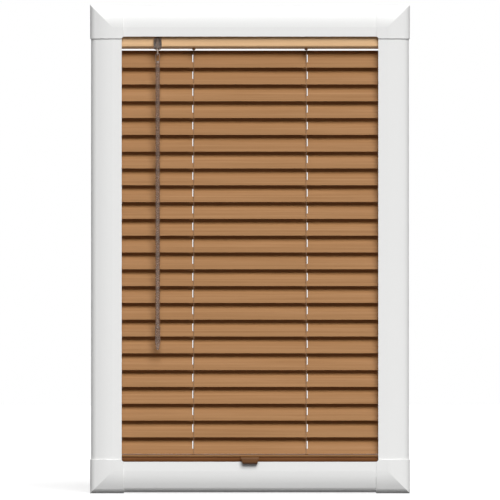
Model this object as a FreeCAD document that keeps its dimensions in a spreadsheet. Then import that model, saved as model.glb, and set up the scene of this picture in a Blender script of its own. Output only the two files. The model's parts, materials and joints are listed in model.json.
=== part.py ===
import FreeCAD
import Part
import os
import re

import Sketcher

# A clip-in venetian blind: a white frame that clips onto a window sash and holds a headrail, 24 wood-effect
# slats on two cord ladders, two tensioned cords, a bottom rail with a pull handle and a tilt wand.
# X runs along the slats, +Z is up and +Y points at the glass. The origin is on the frame's back face, in the
# middle of the bottom profile's flat strip. The slats are drawn closed, front edges down.

SIZES = {
    # frame
    "opening_wide": 328,
    "opening_tall": 543.5,
    "face_wide": 39.3,
    "frame_deep": 30,
    "flat_wide": 11.8,
    "face_bend": 54,
    "edge_round": 6,
    "edge_back": 7,
    "edge_bend": 11,
    "lip_reach": 6,
    "lip_thick": 1.8,
    "skin": 1.6,
    "strip_mid": 12,
    "groove_near": 22,
    "groove_far": 30,
    "groove_deep": 5,
    "groove_hook": 1.2,
    # corner pieces
    "corner_proud": 1.25,
    "corner_over": 2.5,
    "corner_fillet": 4.5,
    "corner_skin": 2,
    "key_near": 4,
    "key_far": 19.5,
    "key_back": 2,
    "key_front": 17,
    "rib_front": 24.4,
    "key_long": 25,
    "joint_gap": 0.1,
    "mitre_over": 10,
    # headrail
    "rail_long": 338,
    "rail_deep": 25,
    "blind_back": 13,
    "headrail_tall": 21,
    "headrail_hidden": 5.8,
    "headrail_skin": 0.8,
    "headrail_round": 3.4,
    "headrail_bend": 7,
    "headrail_rim": 3,
    "slot_deep": 18,
    "slot_wide": 6,
    # slats
    "slat_wide": 25,
    "slat_bend": 40,
    "slat_thick": 0.25,
    "slat_pitch": 21.5,
    "slat_angle": 62,
    "first_drop": 13.2,
    "route_long": 11.5,
    "route_wide": 2.2,
    "route_x": 72.7,
    # ladders and cords
    "ladder_x": 71.9,
    "ladder_half": 13.6,
    "ladder_round": 0.35,
    "string_in": 1,
    "string_gap": 0.05,
    "cord_x": 72.4,
    "cord_round": 0.45,
    "cord_end": 3,
    # tilt drive
    "rod_rise": 11,
    "rod_side": 4.4,
    "rod_fit": 0.05,
    "rod_bore": 3.3,
    "rod_left": 127,
    "rod_right": 90,
    "drum_round": 6,
    "drum_hub": 4.6,
    "drum_long": 10,
    "drum_rim": 1.2,
    "gear_root": 4.4,
    "gear_tip": 5.4,
    "gear_long": 6,
    "gear_teeth": 12,
    "gear_gap": 0.6,
    "gear_side": 0.5,
    "tooth_sink": 0.4,
    "tooth_foot": 1.3,
    "tooth_land": 0.6,
    "wand_x": 118,
    "worm_tilt": 30,
    "worm_offset": 8.2,
    "worm_core": 2,
    "worm_crest": 2.5,
    "worm_pitch": 2.67,
    "worm_reach": 24.8,
    "worm_high": 5,
    "worm_low": 9,
    "thread_start": 3.05,
    "thread_foot": 1.7,
    "thread_land": 0.5,
    "thread_sink": 0.3,
    "journal_round": 1.4,
    "journal_long": 0.8,
    "journal_step": 0.4,
    "stub_step": 1,
    "stub_wide": 2.4,
    "stub_wide_up": 9.5,
    "stub_neck": 1.6,
    "stub_neck_up": 4.6,
    "stub_tip": 1.1,
    "stub_lift": 0.2,
    "eye_ring": 2.4,
    "eye_wire": 0.6,
    "tube_round": 4.4,
    "tube_bore": 2.9,
    "tube_reach": 17.5,
    "bore_past": 5.6,
    "passage_gap": 0.4,
    "block_long": 16,
    "block_deep": 19,
    "block_lift": 0.2,
    "block_drop": 1,
    "nose_wide": 10.2,
    "hood_gap": 0.15,
    "hood_low": 0.6,
    "hood_high": 14.6,
    "hood_bend": 8.2,
    "hood_brow": 1.6,
    "hood_cheek": 6.2,
    "hood_chin": 7.6,
    # wand
    "link_wire": 0.42,
    "link_round": 2.4,
    "link_long": 11,
    "tongue_wide": 2.4,
    "tongue_deep": 3.8,
    "tongue_bend": 2,
    "tongue_hole": 1.1,
    "tongue_long": 3.2,
    "wand_round": 2.6,
    "wand_long": 334,
    "grip_round": 3.5,
    "grip_long": 23,
    "grip_taper": 2,
    "tip_long": 7.5,
    "tip_round": 1.4,
    "head_bevel": 1,
    # bottom rail and handle
    "foot_tall": 12.1,
    "foot_skin": 1.2,
    "foot_round": 1.5,
    "foot_ease": 0.6,
    "foot_gap": 12.3,
    "foot_bore": 1.4,
    "foot_clear": 0.3,
    "band_wide": 6,
    "band_high": 0.9,
    "handle_wide": 23,
    "handle_narrow": 18.6,
    "handle_high": 2.1,
    "handle_low": 11.2,
    "handle_root": 3.8,
    "handle_gap": 6.4,
    "handle_out": 11.4,
    "handle_bevel": 0.5,
    "handle_crown": 3,
    "handle_curl": 3.4,
}
SLATS = 24
ALIAS = re.compile(r"\b(" + "|".join(SIZES) + r")\b")

# Heights of the main parts, as formulas of the sizes above
OPENING_LOW = "(face_wide - strip_mid)"
OPENING_HIGH = f"({OPENING_LOW} + opening_tall)"
HEADRAIL_LOW = f"({OPENING_HIGH} + headrail_hidden - headrail_tall)"
FIRST_SLAT = f"({HEADRAIL_LOW} - first_drop)"
LAST_SLAT = f"({FIRST_SLAT} - {SLATS - 1} * slat_pitch)"
FOOT_HIGH = f"({LAST_SLAT} - foot_gap)"
ROD_Z = f"({HEADRAIL_LOW} + rod_rise)"
FRAME_HALF = "(opening_wide / 2 + face_wide)"
FRAME_TALL = "(opening_tall + 2 * face_wide)"
BAR_INSET = "(face_wide + corner_over + joint_gap)"
EYE_Y = "(-blind_back - worm_offset * cos(worm_tilt * 1deg) - worm_reach * sin(worm_tilt * 1deg))"
EYE_Z = f"({ROD_Z} + worm_offset * sin(worm_tilt * 1deg) - worm_reach * cos(worm_tilt * 1deg))"

doc = FreeCAD.newDocument("VenetianBlind")
sheet = doc.addObject("Spreadsheet::Sheet", "Sizes")
for row, (alias, value) in enumerate(SIZES.items(), 1):
    sheet.set(f"A{row}", alias)
    sheet.set(f"B{row}", str(value))
    sheet.setAlias(f"B{row}", alias)
doc.recompute()


def formula(text):
    """The text as the document writes it, with the sheet named before each alias."""
    return ALIAS.sub(lambda word: "Sizes." + word.group(), str(text))


def number(text):
    """The formula's value now."""
    return float(sheet.evalExpression(formula(text)))


def vector(x=0, y=0, z=0):
    return FreeCAD.Vector(number(x), number(y), number(z))


def bind(thing, **values):
    """Tie properties to formulas. A double underscore stands for a dot."""
    for name, text in values.items():
        thing.setExpression(name.replace("__", "."), formula(text))


def place(thing, x=0, y=0, z=0, axis=None, angle=0):
    """Turn a sub-part about an axis through its own origin, then move it, all bound to the sheet."""
    if axis:
        thing.Placement = FreeCAD.Placement(
            FreeCAD.Vector(), FreeCAD.Rotation(FreeCAD.Vector(*axis), 1)
        )
        bind(thing, Placement__Rotation__Angle=angle)
    bind(thing, Placement__Base__x=x, Placement__Base__y=y, Placement__Base__z=z)
    return thing


def new_body(name):
    return doc.addObject("PartDesign::Body", name)


def new_sketch(body, plane, name, offset=0):
    """A sketch on one of the body's own origin planes, moved along its normal by offset."""
    sketch = body.newObject("Sketcher::SketchObject", f"{body.Name}_{name}")
    support = [item for item in body.Origin.OriginFeatures if item.Role == plane]
    sketch.AttachmentSupport = [(support[0], "")]
    sketch.MapMode = "FlatFace"
    if offset:
        bind(sketch, AttachmentOffset__Base__z=offset)
    return sketch


def hold(sketch, kind, *where, size):
    """Add one constraint whose size is a formula."""
    index = sketch.addConstraint(Sketcher.Constraint(kind, *where, number(size)))
    if ALIAS.search(str(size)):
        bind(sketch, **{f"Constraints[{index}]": size})


def outline(sketch, corners):
    """Draw a closed outline. A corner is (x, y), or (x, y, radius) where an arc runs on to the next corner,
    bending left when the radius is positive and right when it is negative."""
    first = sketch.GeometryCount
    ends = []
    for index, corner in enumerate(corners):
        after = corners[(index + 1) % len(corners)]
        start = vector(corner[0], corner[1])
        end = vector(after[0], after[1])
        if len(corner) == 3:
            radius = number(corner[2])
            chord = end - start
            side = FreeCAD.Vector(chord.y, -chord.x, 0).normalize()
            bulge = abs(radius) - (radius**2 - chord.Length**2 / 4) ** 0.5
            middle = (start + end) / 2 + side * (bulge if radius > 0 else -bulge)
            sketch.addGeometry(Part.Arc(start, middle, end), False)
            ends.append((1, 2) if radius > 0 else (2, 1))
        else:
            sketch.addGeometry(Part.LineSegment(start, end), False)
            ends.append((1, 2))
    for index, corner in enumerate(corners):
        line = first + index
        after = (index + 1) % len(corners)
        joined = (line, ends[index][1], first + after, ends[after][0])
        sketch.addConstraint(Sketcher.Constraint("Coincident", *joined))
        hold(sketch, "DistanceX", -1, 1, line, ends[index][0], size=corner[0])
        hold(sketch, "DistanceY", -1, 1, line, ends[index][0], size=corner[1])
        if len(corner) == 3:
            hold(sketch, "Radius", line, size=str(corner[2]).lstrip("-"))


def rectangle(sketch, left, low, right, high):
    outline(sketch, [(left, low), (right, low), (right, high), (left, high)])


def circle(sketch, x, y, radius):
    ring = sketch.addGeometry(
        Part.Circle(vector(x, y), FreeCAD.Vector(0, 0, 1), number(radius)), False
    )
    hold(sketch, "DistanceX", -1, 1, ring, 3, size=x)
    hold(sketch, "DistanceY", -1, 1, ring, 3, size=y)
    hold(sketch, "Radius", ring, size=radius)


def pad(body, sketch, length, both_ways=False):
    feature = body.newObject("PartDesign::Pad", f"{sketch.Name}_pad")
    feature.Profile = sketch
    bind(feature, Length=length)
    if both_ways:
        feature.SideType = "Symmetric"
    return feature


def cut_through(body, sketch):
    """Cut the sketch right through the body, both ways, and make sure that it cut."""
    doc.recompute()
    before = body.Shape.Volume
    feature = body.newObject("PartDesign::Pocket", f"{sketch.Name}_cut")
    feature.Profile = sketch
    feature.Type = "ThroughAll"
    feature.SideType = "Symmetric"
    doc.recompute()
    assert body.Shape.Volume < before - 1e-3, f"{sketch.Name} cuts nothing"
    return feature


def revolve(body, sketch):
    feature = body.newObject("PartDesign::Revolution", f"{sketch.Name}_turned")
    feature.Profile = sketch
    feature.ReferenceAxis = (sketch, ["V_Axis"])
    feature.Angle = 360
    return feature


def mirrored(source, name, base, normal):
    """A copy on the other side of a plane."""
    copy = doc.addObject("Part::Mirroring", name)
    copy.Source = source
    copy.Normal = FreeCAD.Vector(*normal)
    bind(copy, Base__x=base[0], Base__y=base[1], Base__z=base[2])
    return copy


def grouped(name, members):
    """Separate solids that share one node."""
    group = doc.addObject("Part::Compound", name)
    group.Links = members
    return group


def fused(name, members):
    whole = doc.addObject("Part::MultiFuse", name)
    whole.Shapes = members
    whole.Refine = False
    return whole


def less(name, base, tool):
    result = doc.addObject("Part::Cut", name)
    result.Base = base
    result.Tool = tool
    return result


def box(name, low, high):
    """A block between two corners, each three formulas."""
    block = doc.addObject("Part::Box", name)
    sides = [f"({top}) - ({bottom})" for bottom, top in zip(low, high)]
    bind(block, Length=sides[0], Width=sides[1], Height=sides[2])
    return place(block, *low)


def cylinder(name, radius, length, x=0, y=0, z=0, axis=None, angle=0):
    rod = doc.addObject("Part::Cylinder", name)
    bind(rod, Radius=radius, Height=length)
    return place(rod, x, y, z, axis, angle)


def torus(name, ring, wire, x=0, y=0, z=0, axis=None, angle=0):
    loop = doc.addObject("Part::Torus", name)
    bind(loop, Radius1=ring, Radius2=wire)
    return place(loop, x, y, z, axis, angle)


# ---- frame ------------------------------------------------------------------------------------------------


def face_depth(across, grow=0):
    """How far in front of the back plane the curved face stands, this far in from the outer edge."""
    side = f"(face_wide - flat_wide - ({across}))"
    return f"(frame_deep - face_bend + sqrt((face_bend + {grow})^2 - {side}^2))"


def shell_outline(grow):
    """The outer outline of the frame's section, from the back of its outer wall over the rounded shoulder to
    the lip's edge. grow moves wall and face outwards. Across is x, and the depth to the front is -y."""
    edge = f"(-({grow}))"
    shoulder = f"({edge} + edge_round)"
    return [
        (edge, 0),
        (edge, f"-({face_depth(shoulder, grow)} - edge_back)", "edge_bend"),
        (shoulder, f"-{face_depth(shoulder, grow)}", f"(face_bend + {grow})"),
        ("face_wide - flat_wide", f"-(frame_deep + {grow})"),
        ("face_wide", f"-(frame_deep + {grow})"),
        ("face_wide", "-(frame_deep - lip_thick)"),
        ("face_wide - lip_reach", "-(frame_deep - lip_thick)"),
    ]


def turn_back(points):
    """The same points in the other direction, with each arc's radius moved to its new first corner."""
    back = []
    for index in range(len(points) - 1, -1, -1):
        x, y = points[index][:2]
        before = points[index - 1] if index else ()
        if len(before) == 3:
            radius = before[2]
            flipped = radius[1:] if radius.startswith("-") else f"-{radius}"
            back.append((x, y, flipped))
        else:
            back.append((x, y))
    return back


def frame_bar(name, length):
    """A hollow profile with a curved face, a lip over the blind's edge and a hooked groove at the back."""
    body = new_body(name)
    solid = new_sketch(body, "XY_Plane", "outside")
    inner_wall = "face_wide - lip_reach"
    outline(
        solid,
        shell_outline(0)
        + [
            (inner_wall, 0),
            ("groove_far - groove_hook", 0),
            ("groove_far - groove_hook", "-groove_hook"),
            ("groove_far", "-groove_hook"),
            ("groove_far", "-groove_deep"),
            ("groove_near", "-groove_deep"),
            ("groove_near", "-groove_hook"),
            ("groove_near + groove_hook", "-groove_hook"),
            ("groove_near + groove_hook", 0),
        ],
    )
    pad(body, solid, length)
    hollow = new_sketch(body, "XY_Plane", "chamber")
    outline(
        hollow,
        [("skin", "-skin")]
        + shell_outline("-skin")[1:4]
        + [
            (f"{inner_wall} - skin", "-(frame_deep - skin)"),
            (f"{inner_wall} - skin", "-(groove_deep + skin)"),
            ("groove_near - skin", "-(groove_deep + skin)"),
            ("groove_near - skin", "-skin"),
        ],
    )
    cut_through(body, hollow)
    return body


def make_frame_profiles():
    side_long = f"{FRAME_TALL} - 2 * {BAR_INSET}"
    left = frame_bar("left_bar", side_long)
    place(left, f"-{FRAME_HALF}", 0, f"{BAR_INSET} - strip_mid")
    right = mirrored(left, "right_bar", (0, 0, 0), (1, 0, 0))
    bottom = frame_bar("bottom_bar", f"2 * ({FRAME_HALF} - {BAR_INSET})")
    place(bottom, f"{FRAME_HALF} - {BAR_INSET}", 0, "-strip_mid", axis=(0, -1, 0), angle=90)
    middle = f"{FRAME_TALL} / 2 - strip_mid"
    top = mirrored(bottom, "top_bar", (0, 0, middle), (0, 0, 1))
    return grouped("frame_profiles", [left, right, bottom, top])


def make_corner_pieces():
    """Each moulded corner is a shell mitred at 45 degrees, with a key that plugs into each profile."""
    body = new_body("corner_half")
    arm = "(face_wide + corner_over)"
    shell = new_sketch(body, "XY_Plane", "shell", offset="-corner_proud")
    grow_in = "(corner_proud - corner_skin)"
    inside = shell_outline(grow_in)[:4] + [
        ("face_wide - lip_reach - corner_skin", f"-(frame_deep + {grow_in})"),
        ("face_wide - lip_reach - corner_skin", 0),
    ]
    outline(
        shell,
        shell_outline("corner_proud") + [("face_wide - lip_reach", 0)] + turn_back(inside),
    )
    pad(body, shell, f"{arm} + corner_proud")
    mitre = new_sketch(body, "XZ_Plane", "mitre")
    near, far = "-mitre_over", "face_wide * 2"
    outline(mitre, [(near, near), (far, near), (far, far)])
    cut_through(body, mitre)
    fillet = new_sketch(body, "XZ_Plane", "fillet", offset="frame_deep - lip_thick")
    inner = "face_wide - corner_skin"
    outline(
        fillet,
        [
            (inner, inner),
            (arm, inner),
            (arm, "face_wide", "-corner_fillet"),
            ("face_wide", arm),
            (inner, arm),
        ],
    )
    pad(body, fillet, "lip_thick + corner_proud")
    rib = new_sketch(body, "XY_Plane", "rib", offset="key_near")
    rectangle(rib, "key_near", "-rib_front", "key_far", "-key_back")
    pad(body, rib, f"{arm} - key_near")
    key = new_sketch(body, "XY_Plane", "key", offset=arm)
    rectangle(key, "key_near", "-key_front", "key_far", "-key_back")
    pad(body, key, "key_long")
    other_half = mirrored(body, "corner_other_half", (0, 0, 0), (1, 0, -1))
    corner = fused("corner_low_left", [body, other_half])
    place(corner, f"-{FRAME_HALF}", 0, "-strip_mid")
    low_right = mirrored(corner, "corner_low_right", (0, 0, 0), (1, 0, 0))
    middle = f"{FRAME_TALL} / 2 - strip_mid"
    high_left = mirrored(corner, "corner_high_left", (0, 0, middle), (0, 0, 1))
    high_right = mirrored(low_right, "corner_high_right", (0, 0, middle), (0, 0, 1))
    return grouped("corner_pieces", [corner, low_right, high_left, high_right])


# ---- headrail and tilt drive --------------------------------------------------------------------------------


def make_headrail():
    """An open-topped channel with rolled rims, slots for the ladders and a cut-out for the tilter's nose."""
    body = new_body("headrail")
    section = new_sketch(body, "YZ_Plane", "section")
    half = "(rail_deep / 2)"
    inside = f"({half} - headrail_skin)"
    corner = "headrail_round"
    bend = "headrail_bend"
    inner_bend = "(headrail_bend - headrail_skin)"
    outline(
        section,
        [
            (f"-{half}", corner, bend),
            (f"-({half} - {corner})", 0),
            (f"{half} - {corner}", 0, bend),
            (half, corner),
            (half, "headrail_tall"),
            (f"{half} - headrail_rim", "headrail_tall"),
            (f"{half} - headrail_rim", "headrail_tall - headrail_skin"),
            (inside, "headrail_tall - headrail_skin"),
            (inside, corner, f"-{inner_bend}"),
            (f"{half} - {corner}", "headrail_skin"),
            (f"-({half} - {corner})", "headrail_skin", f"-{inner_bend}"),
            (f"-{inside}", corner),
            (f"-{inside}", "headrail_tall - headrail_skin"),
            (f"-({half} - headrail_rim)", "headrail_tall - headrail_skin"),
            (f"-({half} - headrail_rim)", "headrail_tall"),
            (f"-{half}", "headrail_tall"),
        ],
    )
    pad(body, section, "rail_long", both_ways=True)
    slots = new_sketch(body, "XY_Plane", "ladder_slots")
    for side in ("-", ""):
        middle = f"{side}cord_x"
        rectangle(
            slots,
            f"{middle} - slot_wide / 2",
            "-slot_deep / 2",
            f"{middle} + slot_wide / 2",
            "slot_deep / 2",
        )
    cut_through(body, slots)
    place(body, 0, "-blind_back", HEADRAIL_LOW)
    passage = cylinder(
        "nose_passage",
        "tube_round + passage_gap",
        "worm_reach",
        "-wand_x",
        EYE_Y,
        EYE_Z,
        axis=(-1, 0, 0),
        angle="worm_tilt",
    )
    return less("headrail_rail", body, passage)


def make_tilter_housing():
    """A gearbox inside the headrail, and an inclined tube under a hood that carries the worm out."""
    low = f"{HEADRAIL_LOW} + headrail_skin + block_lift"
    high = f"{HEADRAIL_LOW} + headrail_tall - block_drop"
    block = box(
        "tilter_block",
        ("-wand_x - block_long / 2", "-blind_back - block_deep / 2", low),
        ("-wand_x + block_long / 2", "-blind_back + block_deep / 2", high),
    )
    tube = cylinder(
        "tilter_tube",
        "tube_round",
        "tube_reach",
        "-wand_x",
        f"{EYE_Y} + (worm_reach - tube_reach) * sin(worm_tilt * 1deg)",
        f"{EYE_Z} + (worm_reach - tube_reach) * cos(worm_tilt * 1deg)",
        axis=(-1, 0, 0),
        angle="worm_tilt",
    )
    hood = new_body("tilter_hood")
    side = new_sketch(hood, "YZ_Plane", "side")
    front = "(-rail_deep / 2 - hood_gap)"
    outline(
        side,
        [
            (front, "hood_low"),
            (front, "hood_high"),
            (f"{front} - hood_brow", "hood_high"),
            (f"{front} - hood_cheek", "hood_bend"),
            (f"{front} - hood_chin", "hood_low"),
        ],
    )
    pad(hood, side, "nose_wide", both_ways=True)
    place(hood, "-wand_x", "-blind_back", HEADRAIL_LOW)
    body = fused("tilter_body", [block, tube, hood])
    bore = cylinder(
        "worm_bore",
        "tube_bore",
        "worm_reach + bore_past",
        "-wand_x",
        EYE_Y,
        EYE_Z,
        axis=(-1, 0, 0),
        angle="worm_tilt",
    )
    chamber = cylinder(
        "gear_chamber",
        "gear_tip + gear_gap",
        "gear_long + 2 * gear_side",
        "-wand_x - gear_long / 2 - gear_side",
        "-blind_back",
        ROD_Z,
        axis=(0, 1, 0),
        angle="90",
    )
    passage = cylinder(
        "rod_passage",
        "rod_bore",
        "2 * block_long",
        "-wand_x - block_long",
        "-blind_back",
        ROD_Z,
        axis=(0, 1, 0),
        angle="90",
    )
    hollow = fused("tilter_hollow", [bore, chamber, passage])
    return less("tilter_housing", body, hollow)


def make_worm_shaft():
    """The inclined worm, its stub out of the nose, and the eye that the wand's link hangs on."""
    body = new_body("worm_turned")
    stub_end = "-worm_reach + eye_ring + stub_lift"
    profile = new_sketch(body, "XZ_Plane", "profile")
    outline(
        profile,
        [
            (0, "worm_high"),
            (0, stub_end),
            ("stub_tip", stub_end),
            ("stub_neck", "-worm_reach + stub_neck_up"),
            ("stub_wide", "-worm_reach + stub_wide_up"),
            ("stub_wide", "-(worm_low + stub_step)"),
            ("worm_core", "-worm_low"),
            ("worm_core", "worm_high - journal_long - journal_step"),
            ("journal_round", "worm_high - journal_long"),
            ("journal_round", "worm_high"),
        ],
    )
    revolve(body, profile)
    thread = new_sketch(body, "XZ_Plane", "thread")
    outline(
        thread,
        [
            ("worm_core - thread_sink", "-(thread_start + thread_foot / 2)"),
            ("worm_crest", "-(thread_start + thread_land / 2)"),
            ("worm_crest", "-(thread_start - thread_land / 2)"),
            ("worm_core - thread_sink", "-(thread_start - thread_foot / 2)"),
        ],
    )
    doc.recompute()
    helix = body.newObject("PartDesign::AdditiveHelix", "worm_thread")
    helix.Profile = thread
    helix.ReferenceAxis = (thread, ["V_Axis"])
    helix.Mode = "pitch-height-angle"
    bind(helix, Pitch="worm_pitch", Height="worm_pitch * 2")
    turned = place(
        body,
        "-wand_x",
        "-blind_back - worm_offset * cos(worm_tilt * 1deg)",
        f"{ROD_Z} + worm_offset * sin(worm_tilt * 1deg)",
        axis=(-1, 0, 0),
        angle="worm_tilt",
    )
    eye = torus("worm_eye", "eye_ring", "eye_wire", "-wand_x", EYE_Y, EYE_Z, axis=(0, 1, 0), angle="90")
    return fused("worm_shaft", [turned, eye])


def make_tilt_rod():
    """The square rod that turns the two ladder drums."""
    body = new_body("tilt_rod_bar")
    section = new_sketch(body, "YZ_Plane", "section")
    rectangle(section, "-rod_side / 2", "-rod_side / 2", "rod_side / 2", "rod_side / 2")
    pad(body, section, "rod_left + rod_right")
    return place(body, "-rod_left", "-blind_back", ROD_Z)


def make_drum(name, x):
    """A spool on the tilt rod that winds one ladder's front and back strings."""
    body = new_body(name)
    for part, radius, length in (
        ("hub", "drum_hub", "drum_long"),
        ("near_rim", "drum_round", "drum_rim"),
        ("far_rim", "drum_round", "drum_rim"),
    ):
        offset = {"hub": 0, "near_rim": 0, "far_rim": "drum_long - drum_rim"}[part]
        ring = new_sketch(body, "YZ_Plane", part, offset=offset)
        circle(ring, 0, 0, radius)
        pad(body, ring, length)
    bore = new_sketch(body, "YZ_Plane", "bore")
    side = "(rod_side / 2 + rod_fit)"
    rectangle(bore, f"-{side}", f"-{side}", side, side)
    cut_through(body, bore)
    return place(body, f"{x} - drum_long / 2", "-blind_back", ROD_Z)


def make_gear():
    """The tilter's wheel, which the worm turns."""
    body = new_body("worm_wheel")
    disc = new_sketch(body, "YZ_Plane", "disc")
    circle(disc, 0, 0, "gear_root")
    pad(body, disc, "gear_long")
    tooth = new_sketch(body, "YZ_Plane", "tooth")
    outline(
        tooth,
        [
            ("gear_root - tooth_sink", "-tooth_foot / 2"),
            ("gear_tip", "-tooth_land / 2"),
            ("gear_tip", "tooth_land / 2"),
            ("gear_root - tooth_sink", "tooth_foot / 2"),
        ],
    )
    tooth_pad = pad(body, tooth, "gear_long")
    ring = body.newObject("PartDesign::PolarPattern", "teeth")
    ring.Originals = [tooth_pad]
    axis = [item for item in body.Origin.OriginFeatures if item.Role == "X_Axis"]
    ring.Axis = (axis[0], [""])
    ring.Angle = 360
    bind(ring, Occurrences="gear_teeth")
    body.Tip = ring
    bore = new_sketch(body, "YZ_Plane", "bore")
    side = "(rod_side / 2 + rod_fit)"
    rectangle(bore, f"-{side}", f"-{side}", side, side)
    cut_through(body, bore)
    return place(body, "-wand_x - gear_long / 2", "-blind_back", ROD_Z)


# ---- wand ---------------------------------------------------------------------------------------------------


def make_wand_hook():
    """A closed wire link, hanging from the worm's eye."""
    top, low = f"{EYE_Z} - link_round", f"{EYE_Z} - link_long + link_round"
    sides = [
        cylinder(f"link_{name}", "link_wire", f"({top}) - ({low})", f"-wand_x {sign} link_round", EYE_Y, low)
        for name, sign in (("left", "-"), ("right", "+"))
    ]
    bends = []
    for name, height, turn in (("top_bend", top, "90"), ("low_bend", low, "-90")):
        loop = torus(f"link_{name}", "link_round", "link_wire", "-wand_x", EYE_Y, height, (1, 0, 0), turn)
        bind(loop, Angle3="180")
        bends.append(loop)
    return fused("wand_hook", sides + bends)


def make_wand():
    """A clear rod with a flat tongue at the top and a grip and a tapered tip at the bottom."""
    body = new_body("wand")
    profile = new_sketch(body, "XZ_Plane", "profile")
    rod_top = "tongue_long"
    rod_low = "(tongue_long + wand_long)"
    grip_low = f"({rod_low} + grip_long)"
    outline(
        profile,
        [
            (0, f"-{rod_top}"),
            (0, f"-({grip_low} + tip_long)"),
            ("tip_round", f"-({grip_low} + tip_long)"),
            ("grip_round", f"-{grip_low}"),
            ("grip_round", f"-{rod_low}"),
            ("wand_round", f"-({rod_low} - grip_taper)"),
            ("wand_round", f"-({rod_top} + head_bevel)"),
            ("wand_round - head_bevel", f"-{rod_top}"),
        ],
    )
    revolve(body, profile)
    tongue = new_sketch(body, "YZ_Plane", "tongue")
    outline(
        tongue,
        [
            ("-tongue_deep / 2", f"-({rod_top} + head_bevel)"),
            ("tongue_deep / 2", f"-({rod_top} + head_bevel)"),
            ("tongue_deep / 2", "0", "tongue_bend"),
            ("-tongue_deep / 2", "0"),
        ],
    )
    circle(tongue, 0, 0, "tongue_hole")
    pad(body, tongue, "tongue_wide", both_ways=True)
    return place(body, "-wand_x", EYE_Y, f"{EYE_Z} - link_long")


# ---- slats, ladders and cords ---------------------------------------------------------------------------------


def slat_height(index):
    return f"({FIRST_SLAT} - {index} * slat_pitch)"


def make_slat(index):
    """A crowned strip with a route slot at each ladder. Its own Y runs from front edge to back edge."""
    body = new_body(f"slat_{index + 1:02d}")
    section = new_sketch(body, "YZ_Plane", "section")
    half = "(slat_wide / 2)"
    edge = "(slat_thick / 2)"
    outline(
        section,
        [
            (f"-{half}", f"-{edge}", "-(slat_bend - slat_thick / 2)"),
            (half, f"-{edge}"),
            (half, edge, "slat_bend + slat_thick / 2"),
            (f"-{half}", edge),
        ],
    )
    pad(body, section, "rail_long", both_ways=True)
    routes = new_sketch(body, "XY_Plane", "routes")
    reach = "(route_long / 2 - route_wide / 2)"
    for side in ("-", ""):
        left = f"{side}route_x - route_wide / 2"
        right = f"{side}route_x + route_wide / 2"
        outline(
            routes,
            [
                (left, f"-{reach}", "route_wide / 2"),
                (right, f"-{reach}"),
                (right, reach, "route_wide / 2"),
                (left, reach),
            ],
        )
    cut_through(body, routes)
    place(body, 0, "-blind_back", slat_height(index), axis=(1, 0, 0), angle="slat_angle")
    return body


def strings(name, y, low, high):
    """The left and right ladder's strings on one side of the slats."""
    body = new_body(name)
    rings = new_sketch(body, "XY_Plane", "rings")
    for side in ("-", ""):
        circle(rings, f"{side}ladder_x", y, "ladder_round")
    pad(body, rings, f"({high}) - ({low})")
    return place(body, 0, 0, low)


STRING_Y = "ladder_half * cos(slat_angle * 1deg)"
STRING_DROP = "ladder_half * sin(slat_angle * 1deg)"


def make_ladder_front(index):
    """The front strings from this slat's front edge down to the next one's. The first also reaches the drums,
    and the last stops just above the bottom rail."""
    high = f"{HEADRAIL_LOW} + string_in" if index == 0 else f"{slat_height(index)} - {STRING_DROP}"
    low = f"{slat_height(index + 1)} - {STRING_DROP} + string_gap"
    if index == SLATS - 2:
        low = f"{FOOT_HIGH} + foot_clear"
    return strings(f"ladder_front_{index + 1:02d}", f"-blind_back - {STRING_Y}", low, high)


def make_ladder_back():
    low = f"{LAST_SLAT} + {STRING_DROP}"
    return strings("ladder_back", f"-blind_back + {STRING_Y}", low, f"{HEADRAIL_LOW} + string_in")


def make_lift_cords():
    """Two tensioned cords from the headrail, through every slat and the bottom rail, to the bottom profile."""
    body = new_body("lift_cords")
    rings = new_sketch(body, "XY_Plane", "rings")
    for side in ("-", ""):
        circle(rings, f"{side}cord_x", "-blind_back", "cord_round")
    low = f"({OPENING_LOW} - lip_reach)"
    pad(body, rings, f"{HEADRAIL_LOW} + cord_end - {low}")
    return place(body, 0, 0, low)


# ---- bottom rail ----------------------------------------------------------------------------------------------


def make_bottom_rail():
    """A hollow rail with a low raised band along its top and a bore at each cord."""
    body = new_body("bottom_rail")
    section = new_sketch(body, "YZ_Plane", "section")
    half = "(rail_deep / 2)"
    for inset in ("0", "foot_skin"):
        bend = f"(foot_round - {inset} * foot_ease)"
        near, far = f"({half} - {inset})", f"({half} - {inset} - {bend})"
        low, high = f"(-foot_tall + {inset})", f"(-{inset})"
        outline(
            section,
            [
                (f"-{near}", f"{low} + {bend}", bend),
                (f"-{far}", low),
                (far, low, bend),
                (near, f"{low} + {bend}"),
                (near, f"{high} - {bend}", bend),
                (far, high),
                (f"-{far}", high, bend),
                (f"-{near}", f"{high} - {bend}"),
            ],
        )
    pad(body, section, "rail_long", both_ways=True)
    band = new_sketch(body, "YZ_Plane", "band")
    rectangle(band, "-band_wide / 2", "-foot_skin / 2", "band_wide / 2", "band_high")
    pad(body, band, "rail_long", both_ways=True)
    bores = new_sketch(body, "XY_Plane", "bores")
    for side in ("-", ""):
        circle(bores, f"{side}cord_x", 0, "foot_bore")
    cut_through(body, bores)
    return place(body, 0, "-blind_back", FOOT_HIGH)


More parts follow.
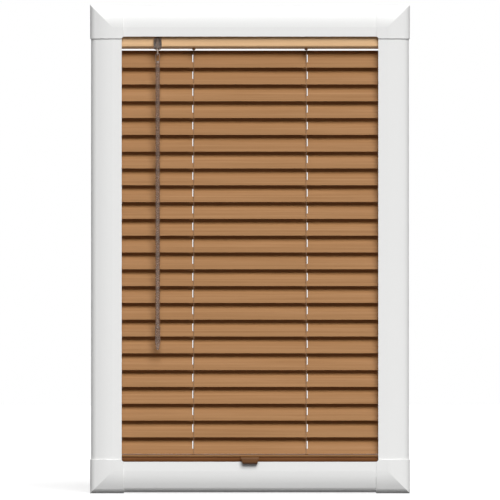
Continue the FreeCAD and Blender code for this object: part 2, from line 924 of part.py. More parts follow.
def make_pull_handle():
    """A finger pull that reaches over the bottom profile's lip."""
    body = new_body("pull_handle")
    side = new_sketch(body, "YZ_Plane", "side")
    root = "(-rail_deep / 2)"
    inner = f"({root} - handle_gap)"
    outer = f"({root} - handle_out)"
    under = "(handle_high + handle_root)"
    outline(
        side,
        [
            (root, "-handle_high"),
            (root, f"-{under}"),
            (f"{inner} + handle_bevel", f"-{under}"),
            (inner, f"-({under} + handle_bevel)"),
            (inner, "-(handle_low - handle_bevel)"),
            (f"{inner} - handle_bevel", "-handle_low"),
            (f"{outer} + handle_curl", "-handle_low", "-handle_curl"),
            (outer, "-(handle_low - handle_curl)"),
            (outer, "-(handle_high + handle_crown)", "-handle_crown"),
            (f"{outer} + handle_crown", "-handle_high"),
        ],
    )
    pad(body, side, "handle_wide", both_ways=True)
    flanks = new_sketch(body, "XZ_Plane", "flanks")
    for sign in ("-", ""):
        outline(
            flanks,
            [
                (f"{sign}(handle_wide / 2)", "-handle_high"),
                (f"{sign}(handle_narrow / 2)", "-handle_low"),
                (f"{sign}(handle_wide)", "-handle_low"),
                (f"{sign}(handle_wide)", "-handle_high"),
            ],
        )
    cut_through(body, flanks)
    return place(body, 0, "-blind_back", FOOT_HIGH)


# ---- all the sub-parts ------------------------------------------------------------------------------------------


def make_all():
    nodes = {
        "frame_profiles": make_frame_profiles(),
        "corner_pieces": make_corner_pieces(),
        "headrail": make_headrail(),
        "tilter_housing": make_tilter_housing(),
        "worm_shaft": make_worm_shaft(),
        "tilt_rod": make_tilt_rod(),
        "tilt_drums": grouped(
            "tilt_drums",
            [make_drum("left_drum", "-cord_x"), make_drum("right_drum", "cord_x"), make_gear()],
        ),
        "wand_hook": make_wand_hook(),
        "wand": make_wand(),
        "lift_cords": make_lift_cords(),
        "ladder_back": make_ladder_back(),
        "bottom_rail": make_bottom_rail(),
        "pull_handle": make_pull_handle(),
    }
    for index in range(SLATS):
        nodes[f"slat_{index + 1:02d}"] = make_slat(index)
    for index in range(SLATS - 1):
        nodes[f"ladder_front_{index + 1:02d}"] = make_ladder_front(index)
    return nodes


def check_and_write(nodes):
    doc.recompute()
    for item in doc.Objects:
        broken = {"Invalid", "Error"} & set(item.State)
        assert not broken, f"{item.Name} is {item.State}"
    os.makedirs("parts", exist_ok=True)
    for name, item in nodes.items():
        item.Label = name
        shape = item.Shape
        assert not shape.isNull() and shape.isValid(), f"{name} has no valid shape"
        assert shape.Solids, f"{name} has no solid"
        shape.exportStep(f"parts/{name}.step")
        solids, size = len(shape.Solids), shape.BoundBox
        print(f"{name}: {solids} solid(s), {shape.Volume:.1f} mm3, z {size.ZMin:.2f} to {size.ZMax:.2f}")


check_and_write(make_all())
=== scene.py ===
"""Looks of a framed venetian blind: a white clip-in frame round 24 wood-effect slats."""

import json
import math

import bmesh
import bpy
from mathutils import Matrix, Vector


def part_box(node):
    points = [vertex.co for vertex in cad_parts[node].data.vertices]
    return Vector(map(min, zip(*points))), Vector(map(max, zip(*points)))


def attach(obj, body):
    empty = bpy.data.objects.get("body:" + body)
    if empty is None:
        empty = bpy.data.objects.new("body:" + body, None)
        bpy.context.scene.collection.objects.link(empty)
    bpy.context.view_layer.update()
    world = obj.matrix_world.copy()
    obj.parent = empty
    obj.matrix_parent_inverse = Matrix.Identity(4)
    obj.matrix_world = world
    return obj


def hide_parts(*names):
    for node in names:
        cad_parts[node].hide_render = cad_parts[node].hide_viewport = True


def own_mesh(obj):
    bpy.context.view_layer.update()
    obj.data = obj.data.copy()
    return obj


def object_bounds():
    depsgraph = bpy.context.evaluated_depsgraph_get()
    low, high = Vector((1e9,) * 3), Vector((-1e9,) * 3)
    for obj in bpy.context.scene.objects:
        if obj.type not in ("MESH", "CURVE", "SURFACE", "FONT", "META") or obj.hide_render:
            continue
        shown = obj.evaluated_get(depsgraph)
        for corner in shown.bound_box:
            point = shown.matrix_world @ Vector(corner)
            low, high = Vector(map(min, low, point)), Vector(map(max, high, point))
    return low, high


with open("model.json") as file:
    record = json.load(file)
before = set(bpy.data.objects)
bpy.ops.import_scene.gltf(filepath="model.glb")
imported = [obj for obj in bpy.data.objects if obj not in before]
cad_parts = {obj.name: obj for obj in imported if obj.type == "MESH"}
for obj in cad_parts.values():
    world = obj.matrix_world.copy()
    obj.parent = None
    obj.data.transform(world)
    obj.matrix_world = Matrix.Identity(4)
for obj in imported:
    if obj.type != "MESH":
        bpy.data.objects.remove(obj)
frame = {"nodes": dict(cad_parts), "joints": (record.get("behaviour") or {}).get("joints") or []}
CAD_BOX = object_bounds()

MM = 0.001
SLATS = 24
SIDES = {"left": -1, "right": 1}

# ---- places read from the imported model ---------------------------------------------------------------


def middle(node):
    """The centre of a node's box at rest."""
    low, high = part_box(node)
    return (low + high) / 2


def joint_place(name):
    """Where a joint sits at rest."""
    found = next(joint for joint in frame["joints"] if joint["name"] == name)
    return Vector(found["pos_m"])


SLAT_MIDDLE = joint_place("tilt")
LAST_SLAT = joint_place("tilt_24")
PITCH = (SLAT_MIDDLE.z - LAST_SLAT.z) / (SLATS - 1)
FRONT_EDGE = joint_place("front_strings")
BACK_EDGE = joint_place("back_strings")
CHORD = BACK_EDGE - FRONT_EDGE
CHORD_HALF = CHORD.length / 2

STRING_LOW, STRING_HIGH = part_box("ladder_front_01")
STRING_RADIUS = (STRING_HIGH.y - STRING_LOW.y) / 2
LADDER_X = STRING_HIGH.x - STRING_RADIUS
CORD_LOW, CORD_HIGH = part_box("lift_cords")
CORD_RADIUS = (CORD_HIGH.y - CORD_LOW.y) / 2
CORD_X = CORD_HIGH.x - CORD_RADIUS
CORD_Y = middle("lift_cords").y

HEADRAIL_LOW, HEADRAIL_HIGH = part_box("headrail")
RAIL_LOW, RAIL_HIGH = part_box("bottom_rail")
WAND_LOW, WAND_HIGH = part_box("wand")
WAND_MIDDLE = middle("wand")

# ---- node trees --------------------------------------------------------------------------------------


class Nodes:
    """A short way to write the node tree of a material or a world."""

    def __init__(self, owner):
        owner.use_nodes = True
        self.tree = owner.node_tree
        self.tree.nodes.clear()

    def feed(self, socket, value):
        """Gives an input a constant or links it to the output that it takes."""
        if isinstance(value, bpy.types.NodeSocket):
            self.tree.links.new(value, socket)
        else:
            socket.default_value = value

    def add(self, kind, inputs=None, **settings):
        """A new node with its settings and with what each input takes."""
        node = self.tree.nodes.new(kind)
        for name, value in settings.items():
            setattr(node, name, value)
        for name, value in (inputs or {}).items():
            self.feed(node.inputs[name], value)
        return node

    def noise(self, scale, detail=3.0, rough=0.55, distortion=0.0):
        """Noise in the piece's own coordinates; scale is in cycles per metre along X, Y and Z."""
        coordinates = self.add("ShaderNodeTexCoord")
        mapping = self.add("ShaderNodeMapping", {"Vector": coordinates.outputs["Object"], "Scale": scale})
        settings = {"Vector": mapping.outputs["Vector"], "Scale": 1.0, "Detail": detail}
        settings |= {"Roughness": rough, "Distortion": distortion}
        return self.add("ShaderNodeTexNoise", settings).outputs["Fac"]

    def remap(self, value, low, high, least=0.0, most=1.0):
        """Turns the stretch from low to high into the stretch from least to most."""
        settings = {"Value": value, "From Min": low, "From Max": high, "To Min": least, "To Max": most}
        return self.add("ShaderNodeMapRange", settings).outputs["Result"]

    def mix(self, factor, first, second):
        """The first colour where the factor is 0 and the second where it is 1."""
        node = self.add("ShaderNodeMix", data_type="RGBA")
        for name, value in {"Factor": factor, "A": first, "B": second}.items():
            self.feed(node.inputs[name], value)
        return node.outputs["Result"]

    def edges(self, low, high, most=1.0):
        """Up to most along the piece's convex edges, 0 elsewhere."""
        geometry = self.add("ShaderNodeNewGeometry")
        return self.remap(geometry.outputs["Pointiness"], low, high, most=most)

    def bump(self, height, depth, strength, normal=None):
        """Surface relief of a depth in metres, on top of another relief if there is one."""
        inputs = {"Height": height, "Distance": depth, "Strength": strength}
        if normal is not None:
            inputs["Normal"] = normal
        return self.add("ShaderNodeBump", inputs).outputs["Normal"]

    def surface(self, **inputs):
        """Ends a material's tree with its one shader."""
        shader = self.add("ShaderNodeBsdfPrincipled")
        for name, value in inputs.items():
            self.feed(shader.inputs[name.replace("_", " ").title().replace("Ior", "IOR")], value)
        self.add("ShaderNodeOutputMaterial", {"Surface": shader.outputs["BSDF"]})


def colour(red, green, blue):
    """A display colour of 0 to 255 as linear light."""

    def linear(value):
        share = value / 255
        return share / 12.92 if share <= 0.04045 else ((share + 0.055) / 1.055) ** 2.4

    return (linear(red), linear(green), linear(blue), 1.0)


def along_x(along, across):
    """The scale of a pattern that is drawn out along X, in cycles per metre."""
    return (along, across, across)


def even(cycles):
    """The scale of a pattern that is alike in each direction, in cycles per metre."""
    return (cycles, cycles, cycles)


# ---- materials ---------------------------------------------------------------------------------------

WHITE = colour(255, 255, 255)
YELLOWED_WHITE = colour(236, 236, 233)
RUBBED_WHITE = colour(245, 245, 244)
WOOD_PATCH = colour(186, 136, 92)
WOOD_PORE = colour(92, 60, 36)
WORN_WOOD = colour(196, 156, 116)
FLOW_LINE = colour(120, 100, 88)
DULLED_METAL = colour(150, 142, 132)
FADED_BRAID = colour(196, 164, 130)


def wood_effect(nodes, light, dark, roughness):
    """Printed timber grain that runs along X under a satin lacquer, with paler worn edges."""
    grain = nodes.noise(along_x(5.0, 520.0), detail=5.0, rough=0.6, distortion=0.4)
    streaks = nodes.noise(along_x(2.2, 160.0), detail=2.0, distortion=0.8)
    patches = nodes.noise(along_x(9.0, 40.0), detail=2.0)
    pores = nodes.noise(along_x(60.0, 1900.0), detail=1.0)
    tone = nodes.mix(nodes.remap(grain, 0.32, 0.68), light, dark)
    tone = nodes.mix(nodes.remap(streaks, 0.45, 0.75, most=0.35), tone, dark)
    tone = nodes.mix(nodes.remap(patches, 0.35, 0.75, most=0.12), tone, WOOD_PATCH)
    tone = nodes.mix(nodes.remap(pores, 0.66, 0.8, most=0.2), tone, WOOD_PORE)
    tone = nodes.mix(nodes.edges(0.58, 0.7, most=0.15), tone, WORN_WOOD)
    gloss = nodes.remap(grain, 0.3, 0.7, roughness - 0.06, roughness + 0.08)
    normal = nodes.bump(grain, depth=0.05 * MM, strength=0.25)
    normal = nodes.bump(pores, depth=0.03 * MM, strength=0.2, normal=normal)
    nodes.surface(base_color=tone, roughness=gloss, normal=normal, specular_ior_level=0.12)


def white_coating(nodes, base, roughness, coat):
    """Satin white finish: a faint orange peel, slightly yellowed patches and brighter rubbed edges."""
    patches = nodes.noise(even(14.0), detail=3.0)
    peel = nodes.noise(even(900.0), detail=2.0)
    tone = nodes.mix(nodes.remap(patches, 0.35, 0.7, most=0.5), base, YELLOWED_WHITE)
    tone = nodes.mix(nodes.edges(0.52, 0.6), tone, RUBBED_WHITE)
    gloss = nodes.remap(patches, 0.3, 0.7, roughness - 0.05, roughness + 0.05)
    normal = nodes.bump(peel, depth=0.02 * MM, strength=0.12)
    nodes.surface(base_color=tone, roughness=gloss, normal=normal, coat_weight=coat, specular_ior_level=0.3)


def clear_plastic(nodes, base, roughness, transmission, alpha):
    """Tinted clear plastic with flow lines along its length and fine handling scuffs."""
    flow = nodes.noise((220.0, 220.0, 30.0), detail=2.0)
    scuffs = nodes.noise((700.0, 700.0, 2600.0), detail=3.0)
    nodes.surface(
        base_color=nodes.mix(nodes.remap(flow, 0.3, 0.7, most=0.4), base, FLOW_LINE),
        roughness=nodes.remap(scuffs, 0.45, 0.75, roughness, roughness + 0.2),
        normal=nodes.bump(flow, depth=0.03 * MM, strength=0.15),
        transmission_weight=transmission,
        alpha=alpha,
        ior=1.49,
    )


def metal(nodes, base, roughness):
    """Plated metal with fine drawing lines along X."""
    lines = nodes.noise(along_x(20.0, 2600.0), detail=2.0)
    spots = nodes.noise(even(160.0), detail=3.0)
    tone = nodes.mix(nodes.remap(spots, 0.4, 0.7, most=0.35), base, DULLED_METAL)
    gloss = nodes.remap(lines, 0.3, 0.7, roughness - 0.06, roughness + 0.1)
    normal = nodes.bump(lines, depth=0.02 * MM, strength=0.2)
    nodes.surface(base_color=tone, roughness=gloss, metallic=1.0, normal=normal)


def moulded(nodes, base, roughness, worn):
    """Moulded plastic: fine spark texture, slight tone drift and lighter edges."""
    texture = nodes.noise(even(1500.0), detail=2.0)
    drift = nodes.noise(even(45.0), detail=3.0)
    tone = nodes.mix(nodes.remap(drift, 0.35, 0.7, most=0.4), base, worn)
    tone = nodes.mix(nodes.edges(0.52, 0.58, most=0.3), tone, worn)
    gloss = nodes.remap(texture, 0.3, 0.7, roughness - 0.08, roughness + 0.08)
    normal = nodes.bump(texture, depth=0.03 * MM, strength=0.25)
    nodes.surface(base_color=tone, roughness=gloss, normal=normal, specular_ior_level=0.15)


def braided(nodes, base, dark):
    """Polyester braid: fibres, darker gaps between the strands and faded stretches."""
    fibres = nodes.noise((3200.0, 3200.0, 1200.0), detail=2.0)
    drift = nodes.noise((60.0, 60.0, 25.0), detail=2.0)
    tone = nodes.mix(nodes.remap(fibres, 0.35, 0.65), base, dark)
    tone = nodes.mix(nodes.remap(drift, 0.4, 0.7, most=0.3), tone, FADED_BRAID)
    normal = nodes.bump(fibres, depth=0.06 * MM, strength=0.5)
    nodes.surface(base_color=tone, roughness=0.85, normal=normal, sheen_weight=0.3)


MATERIALS = {}


def material(name, maker, **settings):
    """Makes one of the part's materials."""
    made = bpy.data.materials.new(name)
    maker(Nodes(made), **settings)
    MATERIALS[name] = made


material("frame_white", white_coating, base=colour(241, 241, 241), roughness=0.45, coat=0.05)
material("corner_white", white_coating, base=colour(242, 242, 242), roughness=0.42, coat=0.08)

PALE_WOOD = {"light": colour(244, 203, 156), "dark": colour(232, 190, 144)}
SLAT_WOOD = {"light": colour(169, 123, 77), "dark": colour(151, 107, 64)}
DARK_WOOD = {"light": colour(126, 80, 44), "dark": colour(114, 71, 38)}
material("wood_slat", wood_effect, roughness=0.5, **SLAT_WOOD)
material("wood_headrail", wood_effect, roughness=0.45, **PALE_WOOD)
material("wood_rail", wood_effect, roughness=0.5, **DARK_WOOD)

SMOKY = {"roughness": 0.25, "transmission": 0.7, "alpha": 0.65}
CLOUDY = {"roughness": 0.2, "transmission": 0.4, "alpha": 0.9}
CLEAR = {"roughness": 0.18, "transmission": 0.65, "alpha": 0.8}
material("smoky_plastic", clear_plastic, base=colour(140, 118, 102), **SMOKY)
material("smoky_shaft", clear_plastic, base=colour(206, 190, 176), **CLOUDY)
material("clear_wand", clear_plastic, base=colour(178, 156, 142), **CLEAR)

material("rod_steel", metal, base=colour(186, 184, 180), roughness=0.35)
material("hook_wire", metal, base=colour(150, 130, 118), roughness=0.5)
material("drum_plastic", moulded, base=colour(222, 216, 204), roughness=0.5, worn=colour(236, 232, 224))
material("brown_handle", moulded, base=colour(102, 66, 36), roughness=0.5, worn=colour(118, 80, 48))
material("brown_cord", braided, base=colour(150, 108, 70), dark=colour(104, 70, 42))
material("brown_ladder", braided, base=colour(180, 138, 100), dark=colour(132, 94, 64))

for node in frame["nodes"].values():
    slot = node.data.materials[0].name.split(".")[0]
    node.data.materials[0] = MATERIALS[slot]

# ---- mesh making -------------------------------------------------------------------------------------

SHARP_DEGREES = 38


def new_piece(name, mesh_maker, slot, body):
    """A shaded piece that rides on a body; mesh_maker fills a bmesh in the part's own frame."""
    mesh = bpy.data.meshes.new(name)
    work = bmesh.new()
    mesh_maker(work)
    bmesh.ops.recalc_face_normals(work, faces=work.faces)
    work.to_mesh(mesh)
    work.free()
    mesh.shade_smooth()
    mesh.set_sharp_from_angle(angle=math.radians(SHARP_DEGREES))
    mesh.materials.append(MATERIALS[slot])
    piece = bpy.data.objects.new(name, mesh)
    bpy.context.scene.collection.objects.link(piece)
    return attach(piece, body)


def lofted(work, rings, hoop=False):
    """Skins rings of points, all of one length, and caps the two ends or, for a hoop, joins them."""
    made = [[work.verts.new(point) for point in ring] for ring in rings]
    following = made[1:]
    if hoop:
        following.append(made[0])
    for lower, upper in zip(made, following):
        for index in range(len(lower)):
            after = (index + 1) % len(lower)
            work.faces.new((lower[index], lower[after], upper[after], upper[index]))
    if not hoop:
        work.faces.new(made[0][::-1])
        work.faces.new(made[-1])


BORED_SIDES = 32


def bored(work, centre, profile, run=0.0):
    """Turns a closed profile of (radius, height) points round a hole, or round a slot run long in Y."""
    rings = []
    for radius, height in profile:
        ring = []
        for index in range(BORED_SIDES):
            angle = 2 * math.pi * (index + 0.5) / BORED_SIDES
            shift = math.copysign(run / 2, math.sin(angle))
            x, y = radius * math.cos(angle), radius * math.sin(angle) + shift
            ring.append(centre + Vector((x, y, height)))
        rings.append(ring)
    lofted(work, rings, hoop=True)


CORNER_STEPS = 5


def rounded(corners):
    """A closed outline of (y, z, radius) corners with each corner rounded."""
    points = []
    for index, (y, z, radius) in enumerate(corners):
        corner = Vector((y, z))
        before = (Vector(corners[index - 1][:2]) - corner).normalized()
        after = (Vector(corners[(index + 1) % len(corners)][:2]) - corner).normalized()
        if radius == 0:
            points.append(corner)
            continue
        reach = radius / math.tan(before.angle(after) / 2)
        start, end = corner + before * reach, corner + after * reach
        for step in range(CORNER_STEPS + 1):
            share = step / CORNER_STEPS
            points.append(start.lerp(corner, share).lerp(corner.lerp(end, share), share))
    return points


BAR_CUTS = 8


def extruded(work, outline, low_x, high_x):
    """An outline in Y and Z drawn out along X."""
    rings = []
    for cut in range(BAR_CUTS + 1):
        x = low_x + (high_x - low_x) * cut / BAR_CUTS
        rings.append([Vector((x, point.x, point.y)) for point in outline])
    lofted(work, rings)


# ---- cords and strings -------------------------------------------------------------------------------

STRANDS = 3
STRAND_GROOVE = 0.1
TWIST_LENGTH = 2.6 * MM
RING_POINTS = 9
RINGS_PER_TWIST = 6


def cord_ring(centre, across, up, radius, turn):
    """One section of a twisted cord: a circle with a groove between each two strands."""
    ring = []
    for index in range(RING_POINTS):
        angle = 2 * math.pi * index / RING_POINTS
        reach = radius * (1 - STRAND_GROOVE + STRAND_GROOVE * math.cos(STRANDS * angle))
        ring.append(centre + across * reach * math.cos(angle + turn) + up * reach * math.sin(angle + turn))
    return ring


def upright_cord(name, x, y, low, high, radius, slot, body):
    """A twisted cord that hangs straight."""
    steps = max(2, round((high - low) / TWIST_LENGTH * RINGS_PER_TWIST))

    def twisted(work):
        rings = []
        for step in range(steps + 1):
            centre = Vector((x, y, low + (high - low) * step / steps))
            turn = 2 * math.pi * step / RINGS_PER_TWIST
            rings.append(cord_ring(centre, Vector((1, 0, 0)), Vector((0, 1, 0)), radius, turn))
        lofted(work, rings)

    return new_piece(name, twisted, slot, body)


def make_lift_cords():
    """The two lift cords, drawn tight from the headrail to the bottom profile."""
    for side, sign in SIDES.items():
        place = (sign * CORD_X, CORD_Y, CORD_LOW.z, CORD_HIGH.z)
        upright_cord(f"lift_cord_{side}", *place, CORD_RADIUS, "brown_cord", "frame")
    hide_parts("lift_cords")


HEADRAIL_WALL = 0.3 * MM


def make_ladders():
    """Front and back strings of both ladders, each drawn straight."""
    front_nodes = [f"ladder_front_{index:02d}" for index in range(1, SLATS)]
    front_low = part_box(front_nodes[-1])[0].z
    back_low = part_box("ladder_back")[0].z
    back_high = HEADRAIL_HIGH.z - HEADRAIL_WALL
    front_look = (STRING_RADIUS, "brown_ladder", "ladder_front_01")
    back_look = (STRING_RADIUS, "brown_ladder", "ladder_back")
    for side, sign in SIDES.items():
        front = (sign * LADDER_X, FRONT_EDGE.y)
        back = (sign * LADDER_X, BACK_EDGE.y)
        name = f"ladder_front_{side}"
        front_piece = upright_cord(name, *front, front_low, FRONT_EDGE.z, *front_look)
        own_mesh(front_piece)
        name = f"ladder_front_top_{side}"
        top_piece = upright_cord(name, *front, FRONT_EDGE.z, STRING_HIGH.z, *front_look)
        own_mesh(top_piece)
        name = f"ladder_back_{side}"
        back_piece = upright_cord(name, *back, back_low, BACK_EDGE.z, *back_look)
        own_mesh(back_piece)
        name = f"ladder_back_top_{side}"
        upright_cord(name, *back, BACK_EDGE.z, back_high, *back_look)
        if side == "left":
            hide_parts(*front_nodes)
            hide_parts("ladder_back")


SLAT_HALF = 12.5 * MM
SLAT_CROWN = 1.95 * MM
SLOT_HALF = 7.2 * MM
RUNG_RADIUS = 0.15 * MM
RUNG_UNDER = 0.3 * MM
RUNG_SIDESTEPS = (-1.0 * MM, 2.9 * MM)
RUNG_STEPS = 24
# radians of twist from one section to the next
RUNG_TURN = 0.6


def rung(work, centre, sign, sidestep):
    """A thread from string to string that follows the slat's crown and steps aside from its slot."""
    along = CHORD.normalized()
    out = Vector((0, -along.z, along.y))
    rings = []
    for step in range(RUNG_STEPS + 1):
        share = 2 * step / RUNG_STEPS - 1
        reach = share * CHORD_HALF
        from_string = (1 - abs(share)) * CHORD_HALF
        bow = min(1.0, from_string / (CHORD_HALF - SLOT_HALF))
        ease = bow * bow * (3 - 2 * bow)
        under = RUNG_UNDER * min(1.0, from_string / (CHORD_HALF - SLAT_HALF))
        crown = SLAT_CROWN * max(0.0, 1 - (reach / SLAT_HALF) ** 2)
        point = centre + along * reach + out * (crown - under)
        point.x = sign * (LADDER_X + sidestep * ease)
        rings.append(cord_ring(point, Vector((1, 0, 0)), out, RUNG_RADIUS, RUNG_TURN * step))
    lofted(work, rings)


def make_rungs():
    """Two fine threads under each slat at each ladder, one to each side of the lift cord's slot."""
    for index in range(SLATS):
        centre = Vector((0, SLAT_MIDDLE.y, SLAT_MIDDLE.z - index * PITCH))

        def threads(work):
            for sign in SIDES.values():
                for sidestep in RUNG_SIDESTEPS:
                    rung(work, centre, sign, sidestep)

        new_piece(f"rungs_{index + 1:02d}", threads, "brown_ladder", f"slat_{index + 1:02d}")


PLUG_BORE = 0.7 * MM
PLUG_NECK = 1.05 * MM
PLUG_BARREL = 1.7 * MM
PLUG_FLANGE = 2.1 * MM
PLUG_DROP = 1.5 * MM
PLUG_FLANGE_HIGH = 0.6 * MM
PLUG_NECK_HIGH = 0.9 * MM
PLUG_BEVEL_WIDE = 0.1 * MM
PLUG_BEVEL_HIGH = 0.2 * MM


def make_ladder_plugs():
    """Plugs at the headrail's floor, each slotted as far as its string moves when the slats tilt."""
    profile = [
        (PLUG_BORE, -PLUG_DROP),
        (PLUG_BARREL - PLUG_BEVEL_WIDE, -PLUG_DROP),
        (PLUG_BARREL, -PLUG_DROP + PLUG_BEVEL_HIGH),
        (PLUG_BARREL, -PLUG_FLANGE_HIGH),
        (PLUG_FLANGE - PLUG_BEVEL_WIDE, -PLUG_FLANGE_HIGH),
        (PLUG_FLANGE, -PLUG_FLANGE_HIGH + PLUG_BEVEL_HIGH),
        (PLUG_FLANGE, 0.0),
        (PLUG_NECK, 0.0),
        (PLUG_NECK, PLUG_NECK_HIGH),
        (PLUG_BORE, PLUG_NECK_HIGH),
    ]
    for side, sign in SIDES.items():
        for face, edge, way in (("front", FRONT_EDGE, -1), ("back", BACK_EDGE, 1)):
            farthest = SLAT_MIDDLE.y + way * CHORD_HALF
            centre = Vector((sign * LADDER_X, (edge.y + farthest) / 2, HEADRAIL_LOW.z))
            run = abs(farthest - edge.y)

            def plug(work):
                bored(work, centre, profile, run)

            new_piece(f"ladder_plug_{face}_{side}", plug, "brown_handle", "frame")


# ---- bottom rail -------------------------------------------------------------------------------------

RAIL_Y = (RAIL_LOW.y + RAIL_HIGH.y) / 2
BAND_HALF = 3.0 * MM
BAND_HIGH = 0.9 * MM
RAIL_TOP = RAIL_HIGH.z - BAND_HIGH
CAP_THICK = 1.2 * MM
BAR_LOW, BAR_HIGH = RAIL_LOW.x + CAP_THICK, RAIL_HIGH.x - CAP_THICK
STRIP_THICK = 1.7 * MM
STRIP_LOW = RAIL_TOP - STRIP_THICK
STRIP_OVERLAP = 0.2 * MM
GROOVE_HIGH = 2.4 * MM
GROOVE_LOW = STRIP_LOW - GROOVE_HIGH
GROOVE_DEEP = 1.6 * MM
CHANNEL_SETBACK = 0.1 * MM


def flanks(front, back, bend, inset, bend_round, foot_round):
    """The bowed underside that channel and caps share, from the front's bend round to the back's."""
    low = RAIL_LOW.z
    return [
        (front, low + bend, bend_round),
        (RAIL_LOW.y + inset, low, foot_round),
        (RAIL_HIGH.y - inset, low, foot_round),
        (back, low + bend, bend_round),
    ]


def channel_outline():
    """The bowed channel with the groove along its front."""
    groove_y = RAIL_LOW.y + GROOVE_DEEP
    front_y = RAIL_LOW.y + CHANNEL_SETBACK
    bends = {"bend": 6 * MM, "inset": 3.5 * MM, "bend_round": 8 * MM, "foot_round": 3 * MM}
    return rounded(
        [
            (groove_y, STRIP_LOW + STRIP_OVERLAP, 0),
            (groove_y, GROOVE_LOW, 0.3 * MM),
            (front_y, GROOVE_LOW, 0.5 * MM),
            *flanks(front_y, RAIL_HIGH.y, **bends),
            (RAIL_HIGH.y, STRIP_LOW + STRIP_OVERLAP, 0),
        ]
    )


def strip_outline():
    """The cover strip with the raised band along its middle."""
    return rounded(
        [
            (RAIL_LOW.y, STRIP_LOW, 0.4 * MM),
            (RAIL_HIGH.y, STRIP_LOW, 0.4 * MM),
            (RAIL_HIGH.y, RAIL_TOP, 0.8 * MM),
            (RAIL_Y + BAND_HALF, RAIL_TOP, 0),
            (RAIL_Y + BAND_HALF, RAIL_HIGH.z, 0.3 * MM),
            (RAIL_Y - BAND_HALF, RAIL_HIGH.z, 0.3 * MM),
            (RAIL_Y - BAND_HALF, RAIL_TOP, 0),
            (RAIL_LOW.y, RAIL_TOP, 0.8 * MM),
        ]
    )


def make_rail_cap(side, sign):
    """An end cap whose outer face is drawn in a little all round."""
    front, back = RAIL_LOW.y, RAIL_HIGH.y
    bends = {"bend": 5.6 * MM, "inset": 3.3 * MM, "bend_round": 8 * MM, "foot_round": 3.2 * MM}
    outline = rounded(
        [
            *flanks(front, back, **bends),
            (back, RAIL_TOP, 1.2 * MM),
            (front, RAIL_TOP, 1.2 * MM),
        ]
    )
    centre = Vector((RAIL_Y, (RAIL_LOW.z + RAIL_TOP) / 2))

    def cap(work):
        rings = []
        for depth, share in ((0, 0.93), (0.35 * MM, 0.985), (0.7 * MM, 1.0), (CAP_THICK, 1.0)):
            x = sign * (RAIL_HIGH.x - depth)
            ring = [centre + (point - centre) * share for point in outline]
            rings.append([Vector((x, point.x, point.y)) for point in ring])
        lofted(work, rings)

    new_piece(f"rail_cap_{side}", cap, "brown_handle", "bottom_rail")


EYELET_BORE = CORD_RADIUS + 0.1 * MM
EYELET_PROFILE = [
    (EYELET_BORE, 0.0),
    (1.9 * MM, 0.0),
    (2.1 * MM, 0.25 * MM),
    (2.0 * MM, 0.65 * MM),
    (1.5 * MM, 0.9 * MM),
    (1.0 * MM, 0.8 * MM),
    (EYELET_BORE, 0.45 * MM),
]
EYELET_LEVELS = {"top": RAIL_HIGH.z - 0.5 * MM, "bottom": RAIL_LOW.z + 0.05 * MM}


def make_cord_eyelets(side, sign):
    """The eyelets that one lift cord runs through, above and below the rail."""
    for name, level in EYELET_LEVELS.items():
        centre = Vector((sign * CORD_X, CORD_Y, level))

        def eyelet(work):
            bored(work, centre, EYELET_PROFILE)

        new_piece(f"cord_eyelet_{name}_{side}", eyelet, "brown_handle", "bottom_rail")


def make_bottom_rail():
    """A bowed channel under a paler banded strip, with a cap at each end and eyelets at the cords."""

    def channel(work):
        extruded(work, channel_outline(), BAR_LOW, BAR_HIGH)

    def strip(work):
        extruded(work, strip_outline(), BAR_LOW, BAR_HIGH)

    body = new_piece("rail_channel", channel, "wood_rail", "bottom_rail")
    new_piece("rail_cover_strip", strip, "wood_slat", "bottom_rail")
    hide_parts("bottom_rail")
    for side, sign in SIDES.items():
        make_rail_cap(side, sign)
        make_cord_eyelets(side, sign)


# ---- wand --------------------------------------------------------------------------------------------

ROD_RADIUS = 2.75 * MM
ROD_CORNERS = 6
# degrees to each side of a corner, which blunt it
CORNER_OFFSETS = (-4, 0, 4)
GRIP_RADIUS = (WAND_HIGH.x - WAND_LOW.x) / 2
GRIP_TALL = 31 * MM
GRIP_SIDES = 48
FLUTES = 8
FLUTE_DEEP = 0.3 * MM
FLUTE_LOW, FLUTE_HIGH = 8.0 * MM, 28.0 * MM


def wand_rod(work):
    """A six-sided rod with blunt corners, from inside the grip to a domed top."""
    grip_top = WAND_LOW.z + GRIP_TALL
    rings = []
    for height, share in (
        (grip_top - 4 * MM, 0.8),
        (grip_top - 2 * MM, 1.0),
        (WAND_HIGH.z - 3.2 * MM, 1.0),
        (WAND_HIGH.z - 1.2 * MM, 0.93),
        (WAND_HIGH.z - 0.3 * MM, 0.72),
        (WAND_HIGH.z, 0.45),
    ):
        reach = ROD_RADIUS * share
        ring = []
        for corner in range(ROD_CORNERS):
            for offset in CORNER_OFFSETS:
                angle = math.radians(360 / ROD_CORNERS * corner + offset)
                x = WAND_MIDDLE.x + reach * math.cos(angle)
                y = WAND_MIDDLE.y + reach * math.sin(angle)
                ring.append(Vector((x, y, height)))
        rings.append(ring)
    lofted(work, rings)


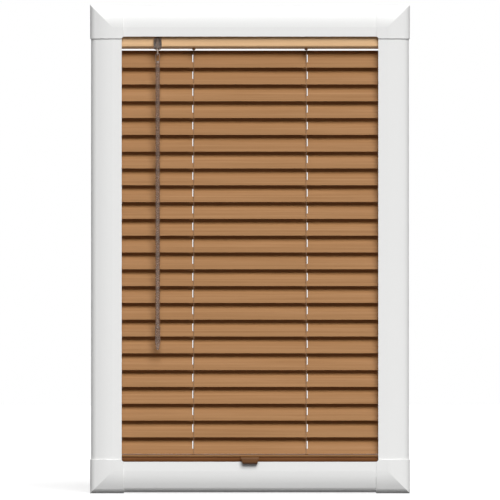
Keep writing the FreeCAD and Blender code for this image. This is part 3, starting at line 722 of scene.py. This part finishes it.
def wand_grip(work):
    """A fluted grip over a narrow waist and a round tip."""
    rings = []
    for radius, height in (
        (0.9 * MM, 0.0),
        (1.6 * MM, 0.25 * MM),
        (2.0 * MM, 1.0 * MM),
        (2.3 * MM, 3.5 * MM),
        (2.9 * MM, 6.0 * MM),
        (GRIP_RADIUS - 0.15 * MM, 8.0 * MM),
        (GRIP_RADIUS, 9.5 * MM),
        (GRIP_RADIUS, 26.0 * MM),
        (GRIP_RADIUS - 0.2 * MM, 28.5 * MM),
        (GRIP_RADIUS - 0.8 * MM, 30.2 * MM),
        (GRIP_RADIUS - 1.4 * MM, GRIP_TALL),
    ):
        deep = FLUTE_DEEP if FLUTE_LOW < height < FLUTE_HIGH else 0.0
        ring = []
        for index in range(GRIP_SIDES):
            angle = 2 * math.pi * index / GRIP_SIDES
            reach = radius - deep * (0.5 + 0.5 * math.cos(FLUTES * angle))
            x = WAND_MIDDLE.x + reach * math.cos(angle)
            y = WAND_MIDDLE.y + reach * math.sin(angle)
            ring.append(Vector((x, y, WAND_LOW.z + height)))
        rings.append(ring)
    lofted(work, rings)


def make_wand():
    """A clear rod in a fluted grip."""
    rod_piece = new_piece("wand_rod", wand_rod, "clear_wand", "wand")
    new_piece("wand_grip", wand_grip, "clear_wand", "wand")
    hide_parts("wand")


make_ladders()
make_rungs()
make_lift_cords()
make_ladder_plugs()
make_bottom_rail()
make_wand()

# ---- stage -------------------------------------------------------------------------------------------

FLOOR_HALF = 6.0
FLOOR_GAP = 0.2 * MM
FLOOR_GLOW = 0.6


def make_floor():
    """A wide pale floor under the frame that glows a little, so that shadows on it stay faint."""
    low, high = -FLOOR_HALF, FLOOR_HALF
    level = CAD_BOX[0].z - FLOOR_GAP
    corners = [(low, low, level), (high, low, level), (high, high, level), (low, high, level)]
    mesh = bpy.data.meshes.new("floor")
    mesh.from_pydata(corners, [], [(0, 1, 2, 3)])
    made = bpy.data.materials.new("floor")
    nodes = Nodes(made)
    speckle = nodes.noise(even(3.0), detail=2.0)
    tone = nodes.mix(nodes.remap(speckle, 0.3, 0.7), colour(190, 190, 190), colour(186, 186, 186))
    nodes.surface(base_color=tone, roughness=0.9, emission_color=WHITE, emission_strength=FLOOR_GLOW)
    mesh.materials.append(made)
    floor = bpy.data.objects.new("floor", mesh)
    floor.visible_diffuse = False
    bpy.context.scene.collection.objects.link(floor)


def sun(name, azimuth, elevation, spread, strength):
    """Broad soft light, all in degrees: azimuth 0 is from the front and grows towards +X."""
    data = bpy.data.lights.new(name, "SUN")
    data.angle = math.radians(spread)
    data.energy = strength
    light = bpy.data.objects.new(name, data)
    turn, rise = math.radians(azimuth), math.radians(elevation)
    towards = Vector((math.sin(turn) * math.cos(rise), -math.cos(turn) * math.cos(rise), math.sin(rise)))
    light.rotation_euler = towards.to_track_quat("Z", "Y").to_euler()
    bpy.context.scene.collection.objects.link(light)


# the light from all round fades between these heights of a unit direction
FADE_LOW, FADE_HIGH = -0.35, 0.55


def make_world(above, below, seen):
    """Soft light from all round, stronger from above than from below, before a white background."""
    world = bpy.data.worlds.new("studio")
    nodes = Nodes(world)
    direction = nodes.add("ShaderNodeTexCoord")
    split = nodes.add("ShaderNodeSeparateXYZ", {"Vector": direction.outputs["Generated"]})
    strength = nodes.remap(split.outputs["Z"], FADE_LOW, FADE_HIGH, below, above)
    light = nodes.add("ShaderNodeBackground", {"Color": WHITE, "Strength": strength})
    backdrop = nodes.add("ShaderNodeBackground", {"Color": WHITE, "Strength": seen})
    path = nodes.add("ShaderNodeLightPath")
    parts = (path.outputs["Is Camera Ray"], light.outputs["Background"], backdrop.outputs["Background"])
    mix = nodes.add("ShaderNodeMixShader", dict(enumerate(parts)))
    nodes.add("ShaderNodeOutputWorld", {"Surface": mix.outputs["Shader"]})
    bpy.context.scene.world = world


# lens and sensor in millimetres, the rest in metres
LENS = 600.0
SENSOR = 36.0
VIEW_TALL = 639.3 * MM
CAMERA_HIGH = 298.0 * MM
CLIP_END = 100.0


def make_camera():
    """A level camera square to the front, far off with a very long lens."""
    data = bpy.data.cameras.new("camera")
    data.lens = LENS
    data.sensor_width = SENSOR
    data.clip_end = CLIP_END
    camera = bpy.data.objects.new("camera", data)
    camera.location = (0.0, HEADRAIL_LOW.y - VIEW_TALL * LENS / SENSOR, CAMERA_HIGH)
    camera.rotation_euler = (math.radians(90), 0, 0)
    bpy.context.scene.collection.objects.link(camera)
    bpy.context.scene.camera = camera


make_floor()
make_world(above=0.22, below=0.07, seen=1.0)
sun("key", azimuth=11, elevation=42, spread=36, strength=3.15)
sun("rear_fill", azimuth=180, elevation=22, spread=60, strength=0.9)
make_camera()
bpy.context.scene.view_settings.view_transform = "Standard"
